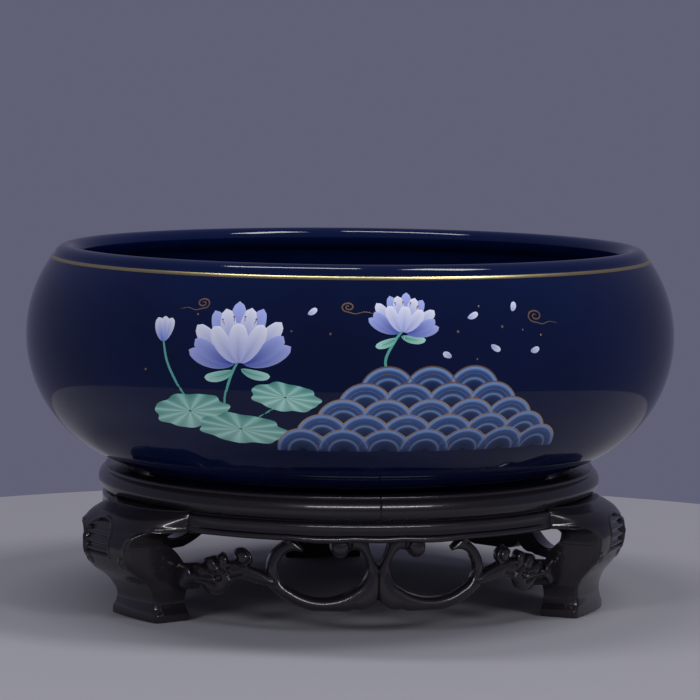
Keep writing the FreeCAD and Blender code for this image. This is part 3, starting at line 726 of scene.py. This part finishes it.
line_section = ((GOLD_FOOT, -0.1), (GOLD_FOOT, 0.04), (GOLD_FOOT + 0.12, 0.1),
                (GOLD_HEAD - 0.12, 0.1), (GOLD_HEAD, 0.04), (GOLD_HEAD, -0.1))
round_bowl = np.linspace(0, 2 * np.pi * (BULGE_CENTRE[0] + BULGE), ROUND_BOWL, endpoint=False)
line_points = np.stack([wall_spot(round_bowl, up, lift) for up, lift in line_section], 1)
here = np.arange(ROUND_BOWL)[:, None] * len(line_section)
ahead = np.roll(here, -1, 0)
column = np.arange(len(line_section))
beside = np.roll(column, -1)
line_faces = np.stack([here + column, ahead + column, ahead + beside, here + beside], -1)
gold_line = new_mesh_piece("gold_line", line_points, line_faces.reshape(-1, 4).tolist(),
                           gold_finish("gold_lustre", (0.74, 0.62, 0.30), 0.3), 50)
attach(gold_line, "bowl")


# --- Painted decoration -------------------------------------------------------------------------
# Overglaze enamels and gold, painted by hand and fired: lotus blossoms with mint green leaves,
# fish-scale waves edged in gold, and a few drifting petals. Each stroke is a film of enamel.

WHITE_LILAC, LILAC, SKY = (0.88, 0.90, 1.0), (0.46, 0.53, 0.96), (0.15, 0.26, 0.82)
COBALT, MINT, JADE = (0.04, 0.08, 0.48), (0.50, 0.90, 0.76), (0.12, 0.48, 0.40)
WAVE_PALE, WAVE_BLUE, WAVE_DEEP = (0.36, 0.54, 0.84), (0.055, 0.14, 0.40), (0.003, 0.012, 0.06)
WAVE_FADE = (-62, -34)
FILM_BACK = -0.12
LEAFLET_LIFT, BLOSSOM_LIFT, DOT_LIFT, CURL_LIFT = 0.10, 0.14, 0.14, 0.12

enamel, gilding = ({"points": [], "faces": [], "colours": [], "count": 0} for _ in range(2))


def lay_film(store, across, up, lift, colour):
    """A closed film over a grid of the picture: its face swells from a thin edge to the lift, and
    its back lies just under the glaze. The grid's first way crossed with its second looks out."""
    rows, columns = across.shape
    i, j = np.meshgrid(np.arange(rows), np.arange(columns), indexing="ij")
    rim = (i == 0) | (i == rows - 1) | (j == 0) | (j == columns - 1)
    top = wall_spot(across, up, np.where(rim, lift * 0.5, lift)).reshape(-1, 3)
    under = wall_spot(across, up, FILM_BACK).reshape(-1, 3)
    number = store["count"] + i * columns + j
    cells = np.stack([number[:-1, :-1], number[1:, :-1], number[1:, 1:], number[:-1, 1:]], -1)
    loop = np.concatenate([number[:-1, 0], number[-1, :-1], number[:0:-1, -1], number[0, :0:-1]])
    after = np.roll(loop, -1)
    half = rows * columns
    store["faces"] += cells.reshape(-1, 4).tolist()
    store["faces"] += (cells[..., ::-1] + half).reshape(-1, 4).tolist()
    store["faces"] += np.stack([loop, loop + half, after + half, after], -1).tolist()
    store["points"] += [top, under]
    tint = np.broadcast_to(np.asarray(colour, float), across.shape + (3,)).reshape(-1, 3)
    store["colours"] += [tint, tint]
    store["count"] += 2 * half


def blend(first, second, share):
    """Colours between two, share 0 to 1 at each point."""
    share = np.clip(share, 0, 1)[..., None]
    return np.asarray(first) * (1 - share) + np.asarray(second) * share


def petal(root, heading, length, width, bend, root_colour, tip_colour, lift):
    """One petal or leaf: a midline that bends evenly, as wide as s^0.65 (1 - s)^0.5 at the share s
    of its length, with a paler edge and faint veins."""
    s = np.linspace(0, 1, 17)[:, None]
    w = np.linspace(-1, 1, 11)[None, :]
    way = np.radians(heading + bend * (s - 0.35))
    step = length / 16
    x = root[0] + np.cumsum(np.cos(way) * step, 0) - np.cos(way[0]) * step
    y = root[1] + np.cumsum(np.sin(way) * step, 0) - np.sin(way[0]) * step
    half = width * 2.2 * s ** 0.65 * (1 - s) ** 0.5 + 0.05
    across, up = x - np.sin(way) * half * w, y + np.cos(way) * half * w
    colour = blend(root_colour, tip_colour, s ** 1.1 + 0.10 * np.cos(w * 11) * (1 - s))
    colour = colour * (1 - 0.28 * np.exp(-(w / 0.16) ** 2) * (1 - s))[..., None]
    colour = colour + (np.asarray(tip_colour) - colour) * (0.65 * np.abs(w * np.ones_like(s))
                                                           ** 5)[..., None]
    lay_film(enamel, across, up, lift, colour)
    return x[:, 0], y[:, 0]


def stroke(store, points, width, lift, colour=(1, 1, 1), taper=1.0):
    """A brush stroke along a path through the points, drawn as a smooth curve (Catmull-Rom) and
    thinned toward both ends."""
    path = np.asarray(points, float)
    ends = np.concatenate([[2 * path[0] - path[1]], path, [2 * path[-1] - path[-2]]])
    t = np.linspace(0, 1, 9)[:-1, None]
    pieces = [0.5 * (2 * b + (c - a) * t + (2 * a - 5 * b + 4 * c - d) * t ** 2
                     + (3 * b - a - 3 * c + d) * t ** 3)
              for a, b, c, d in zip(ends, ends[1:], ends[2:], ends[3:])]
    curve_points = np.concatenate(pieces + [path[-1:]])
    way = np.gradient(curve_points, axis=0)
    way /= np.maximum(np.linalg.norm(way, axis=1, keepdims=True), 1e-9)
    s = np.linspace(0, 1, len(curve_points))
    half = width / 2 * (1 - taper * (np.abs(2 * s - 1) ** 3) * 0.85)
    w = np.array([-1.0, 0.0, 1.0])
    across = curve_points[:, :1] - way[:, 1:] * half[:, None] * w
    up = curve_points[:, 1:] + way[:, :1] * half[:, None] * w
    lay_film(store, across, up, lift, colour)


def dab(store, across, up, size, lift, colour=(1, 1, 1)):
    """A round dot, drawn in rings from its middle."""
    r = np.linspace(0.05, 1, 4)[:, None] * size
    t = np.linspace(0, 2 * np.pi, 17)[None, :]
    lay_film(store, across + r * np.cos(t), up + r * np.sin(t), lift, colour)


def blossom(root, size, lean, lift):
    """A lotus blossom from the side, back petals first: each row of (heading, length, width, bend)
    is turned by the lean, and every petal lies a little higher than the last."""
    back = ((64, 1.0, 0.15, 8), (116, 1.0, 0.15, -8), (90, 1.06, 0.16, 0))
    sides = ((40, 0.98, 0.16, 16), (140, 0.98, 0.16, -16),
             (76, 0.96, 0.17, 4), (104, 0.96, 0.17, -4))
    spread = ((10, 0.9, 0.13, 34), (170, 0.9, 0.13, -34),
              (24, 0.86, 0.16, 34), (156, 0.86, 0.16, -34))
    front = ((54, 0.76, 0.17, 18), (126, 0.76, 0.17, -18), (90, 0.68, 0.19, 0))
    rows = ((back, SKY, LILAC), (sides, SKY, WHITE_LILAC), (spread, COBALT, LILAC),
            (front, LILAC, WHITE_LILAC))
    number = 0
    for petals, root_colour, tip_colour in rows:
        for heading, length, width, bend in petals:
            spot = (root[0] + 0.07 * size * math.cos(math.radians(heading)), root[1])
            petal(spot, heading + lean, length * size, width * size, bend, root_colour, tip_colour,
                  lift + 0.012 * number)
            number += 1
    for spread_angle in (-24, -9, 6, 21):
        way = math.radians(90 + lean + spread_angle)
        foot, tip = ((root[0] + share * size * math.cos(way),
                      root[1] + share * size * math.sin(way)) for share in (0.70, 0.80))
        stroke(gilding, (foot, tip), 0.5, lift + 0.2)
        dab(gilding, *tip, 0.55, lift + 0.22)


def lotus_leaf(middle, wide, tall, lean, lift):
    """A round leaf seen from low down: an ellipse with a waved edge, veined from its middle."""
    r = np.linspace(0.04, 1, 9)[:, None]
    t = np.linspace(0, 2 * np.pi, 65)[None, :]
    waved = 1 + 0.05 * np.cos(7 * t) * r + 0.03 * np.sin(11 * t) * r
    x, y = wide * r * np.cos(t) * waved, tall * r * np.sin(t) * waved
    turn = math.radians(lean)
    vein = np.abs(np.cos(5.5 * t)) ** 14 * (r > 0.1)
    colour = blend(MINT, JADE, 0.15 + 0.55 * r ** 2 + 0.35 * np.sin(t) * r)
    colour = colour * (0.75 + 0.25 * np.cos(11 * t))[..., None] ** 0.5
    colour = colour + (np.asarray(MINT) * 1.15 - colour) * (0.7 * vein)[..., None]
    lay_film(enamel, middle[0] + x * math.cos(turn) - y * math.sin(turn),
             middle[1] + x * math.sin(turn) + y * math.cos(turn), lift, colour)


def wave_scale(across, up, size, lift):
    """One fish-scale of water: a half disc of blue arcs that fade down into the glaze, with gold
    along its brow and along one arc inside."""
    r = np.linspace(0.12, 1, 19)[:, None]
    t = np.linspace(0, np.pi, 25)[None, :]
    x, y = across + size * r * np.cos(t), up + size * r * np.sin(t)
    arcs = np.exp(-((r - 0.93) / 0.05) ** 2) + np.exp(-((r - 0.56) / 0.04) ** 2) * 0.8
    colour = blend(WAVE_DEEP, WAVE_BLUE, r ** 2 * 1.1 + 0 * t)
    colour = colour + (np.asarray(WAVE_PALE) - colour) * (0.75 * arcs + 0 * t)[..., None]
    fade = smooth_step(*WAVE_FADE, y)[..., None]
    colour = np.asarray(WAVE_DEEP) + (colour - np.asarray(WAVE_DEEP)) * fade
    lay_film(enamel, x, y, lift, colour)
    for share, width in ((1.0, 0.75), (0.74, 0.4)):
        ring = np.radians(np.linspace(0, 180, 13))
        stroke(gilding, np.stack([across + share * size * np.cos(ring),
                                  up + share * size * np.sin(ring)], -1), width, lift + 0.03)


WAVE_MIDDLE, WAVE_STEP, WAVE_SIZE = 42.0, 22.5, 14.6
WAVE_ROWS = ((-15, 3), (-23.5, 4), (-32, 5), (-40.5, 6), (-49, 7))
STEMS = (((-62, -34), (-66, -22), (-62, -8), (-57, 2)),
         ((-70, -34), (-86, -22), (-97, -4), (-101, 10)),
         ((20, -6), (18, 3), (23, 13), (27, 18)), ((-58, -34), (-44, -26), (-33, -19)))
LEAFLETS = (((-60, -4), 200, 17, 2.6, -30), ((-56, -3), -18, 16, 2.4, 34),
            ((24, 14), 205, 12, 2.0, -24), ((26, 15), -14, 13, 2.0, 30))
DRIFTING = ((62, 24, 20, 6.5), (74, 10, -35, 6.0), (88, 27, 60, 5.5),
            (97, 6, 10, 5.5), (52, 4, 150, 5.0), (-22, 26, 30, 5.5))
DOTS = ((56, 17, 0.7), (69, 30, 0.55), (81, 19, 0.7), (93, 17, 0.5), (104, 14, 0.6),
        (66, 3, 0.5), (-10, 16, 0.6), (-30, 17, 0.5), (-82, 24, 0.6), (-112, -6, 0.6))
CURLS = ((102, 24, 5.0, 1), (-80, 30, 4.2, -1), (-1, 30, 3.8, 1))

for rank, (up, count) in enumerate(WAVE_ROWS):
    for place_in_row in range(count):
        across = WAVE_MIDDLE + (place_in_row - (count - 1) / 2) * WAVE_STEP
        wave_scale(across, up, WAVE_SIZE, 0.05 + 0.05 * rank + 0.004 * (place_in_row % 2))

for path in STEMS:
    stroke(enamel, path, 1.4, 0.03, JADE, 0.4)
lotus_leaf((-87, -27), 23, 9.5, 8, 0.08)
lotus_leaf((-33, -17), 18, 7.5, -6, 0.10)
lotus_leaf((-59, -36), 25, 9.0, -3, 0.12)
for root, heading, length, width, bend in LEAFLETS:
    spine = petal(root, heading, length, width, bend, JADE, MINT, LEAFLET_LIFT)
    stroke(gilding, np.stack(spine, -1)[1:14:3], 0.35, DOT_LIFT)
blossom((-57, 0), 30, 4, BLOSSOM_LIFT)
blossom((27, 17), 20, -8, BLOSSOM_LIFT)
for heading, bend in ((70, 6), (112, -6), (91, 0)):
    petal((-101, 9), heading, 13, 2.9, bend, SKY, WHITE_LILAC, LEAFLET_LIFT + heading * 0.0004)

for across, up, heading, length in DRIFTING:
    petal((across, up), heading, length, 1.5, 30, LILAC, WHITE_LILAC, LEAFLET_LIFT)
for across, up, size in DOTS:
    dab(gilding, across, up, size, DOT_LIFT)
for across, up, size, facing in CURLS:
    t = np.linspace(0, 1, 15)
    wound = 0.4 + 3.4 * np.pi * t
    spiral = np.stack([across + facing * size * (0.12 + 0.88 * t) * np.cos(wound),
                       up + size * 0.72 * (0.12 + 0.88 * t) * np.sin(wound)], -1)
    tail = spiral[-1] + np.array([(facing * 3.5, -0.8), (facing * 8.0, 0.2), (facing * 13.0, -0.6)])
    stroke(gilding, np.concatenate([spiral, tail]), 0.75, CURL_LIFT)


def painted(name, store, material):
    """The films of one colour family as a single piece that keeps the colours at its points."""
    piece = new_mesh_piece(name, np.concatenate(store["points"]), store["faces"], material, 60)
    colours = np.concatenate(store["colours"])
    layer = piece.data.color_attributes.new("paint", "FLOAT_COLOR", "POINT")
    layer.data.foreach_set("color", np.concatenate(
        [np.clip(colours, 0, 1), np.ones((len(colours), 1))], 1).ravel())
    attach(piece, "bowl")


enamel_colours, tree, shader = new_material("overglaze_enamel")
pigment = add_node(tree, "Attribute", {})
pigment.attribute_name = "paint"
feed(tree, shader, {"Base Color": pigment.outputs["Color"], "Roughness": 0.3})
painted("enamel_painting", enamel, enamel_colours)
painted("gold_painting", gilding, gold_finish("painted_gold", (0.86, 0.56, 0.30), 0.34))


# --- Studio -------------------------------------------------------------------------------------
# A plain pale round table whose far edge shows behind the piece, two soft ceiling lamps, a fill
# from either side, a strip lamp that lights only the lacquered pieces, and the camera at the
# photograph's viewing angle.

TABLE_RADIUS = 0.43
TABLE_PALE = (0.36, 0.355, 0.385, 1)
BACKDROP = (0.119, 0.119, 0.182, 1)
CAMERA_AZIMUTH = -7.0
CAMERA_DISTANCE = 1.800
CAMERA_HEIGHT = 0.313
CAMERA_PITCH = 5.585
CAMERA_ROLL = 0.55
FOCAL_PIXELS, PICTURE_PIXELS, SENSOR = 3240.0, 700.0, 36.0

turn = math.radians(CAMERA_AZIMUTH)
level = Vector((-math.sin(turn), math.cos(turn), 0.0))
round_table = np.radians(np.arange(0, 360, 2))
floor_mesh = bpy.data.meshes.new("studio_floor")
table_edge = np.stack([TABLE_RADIUS * np.cos(round_table),
                       TABLE_RADIUS * np.sin(round_table), 0 * round_table], -1)
floor_mesh.from_pydata(table_edge.tolist(), [], [list(range(len(table_edge)))])
floor = bpy.data.objects.new("studio_floor", floor_mesh)
bpy.context.scene.collection.objects.link(floor)
floor_paint, tree, shader = new_material("floor_paint")
feed(tree, shader, {"Base Color": TABLE_PALE, "Roughness": 0.8})
floor_mesh.materials.append(floor_paint)


def lamp(name, place, target, size, power, seen=True):
    """Rectangular soft lamp aimed at a target; an unseen one leaves no reflection in the gloss."""
    light = bpy.data.lights.new(name, "AREA")
    light.shape = "RECTANGLE"
    light.size, light.size_y = size
    light.energy = power
    lamp_object = bpy.data.objects.new(name, light)
    lamp_object.location = place
    aim = Vector(target) - Vector(place)
    lamp_object.rotation_euler = aim.to_track_quat("-Z", "Y").to_euler()
    lamp_object.visible_glossy = seen
    bpy.context.scene.collection.objects.link(lamp_object)
    return lamp_object


lamp("ceiling_left", (-0.47, 0.15, 2.4), (-0.2, 0.1, 0.1), (0.26, 1.1), 13)
lamp("ceiling_right", (0.85, -0.3, 2.4), (0.2, 0, 0.1), (0.5, 0.8), 18)
lamp("left_bank", (-1.7, -1.7, 1.1), (0, 0, 0.14), (0.6, 1.2), 17, False)
lamp("right_bank", (1.6, -1.9, 1.2), (0, 0, 0.14), (0.6, 1.2), 19, False)

lacquered = bpy.data.collections.new("lacquered_pieces")
for piece in bpy.context.scene.objects:
    if piece.type == "MESH" and black_lacquer in list(piece.data.materials):
        lacquered.objects.link(piece)
strip = lamp("lacquer_strip", (0.1, -2.0, 1.15), (0, 0, 0.04), (2.2, 0.12), 26)
strip.light_linking.receiver_collection = lacquered

world = bpy.data.worlds.new("studio_air")
bpy.context.scene.world = world
world.use_nodes = True
feed(world.node_tree, world.node_tree.nodes["Background"], {"Color": BACKDROP, "Strength": 1.0})

bpy.context.scene.view_settings.view_transform = "Standard"

camera_data = bpy.data.cameras.new("camera")
camera_data.lens = FOCAL_PIXELS / PICTURE_PIXELS * SENSOR
camera_data.sensor_width = SENSOR
camera_data.clip_start, camera_data.clip_end = 0.05, 40.0
camera = bpy.data.objects.new("camera", camera_data)
bpy.context.scene.collection.objects.link(camera)
bpy.context.scene.camera = camera
pitch = math.radians(CAMERA_PITCH)
ahead = level * math.cos(pitch) - Vector((0, 0, math.sin(pitch)))
right = level.cross(Vector((0, 0, 1))).normalized()
above = right.cross(ahead)
roll = math.radians(CAMERA_ROLL)
right, above = (right * math.cos(roll) + above * math.sin(roll),
                above * math.cos(roll) - right * math.sin(roll))
place = -level * CAMERA_DISTANCE + Vector((0, 0, CAMERA_HEIGHT))
axes = Matrix((right, above, -ahead)).transposed().to_4x4()
camera.matrix_world = Matrix.Translation(place) @ axes
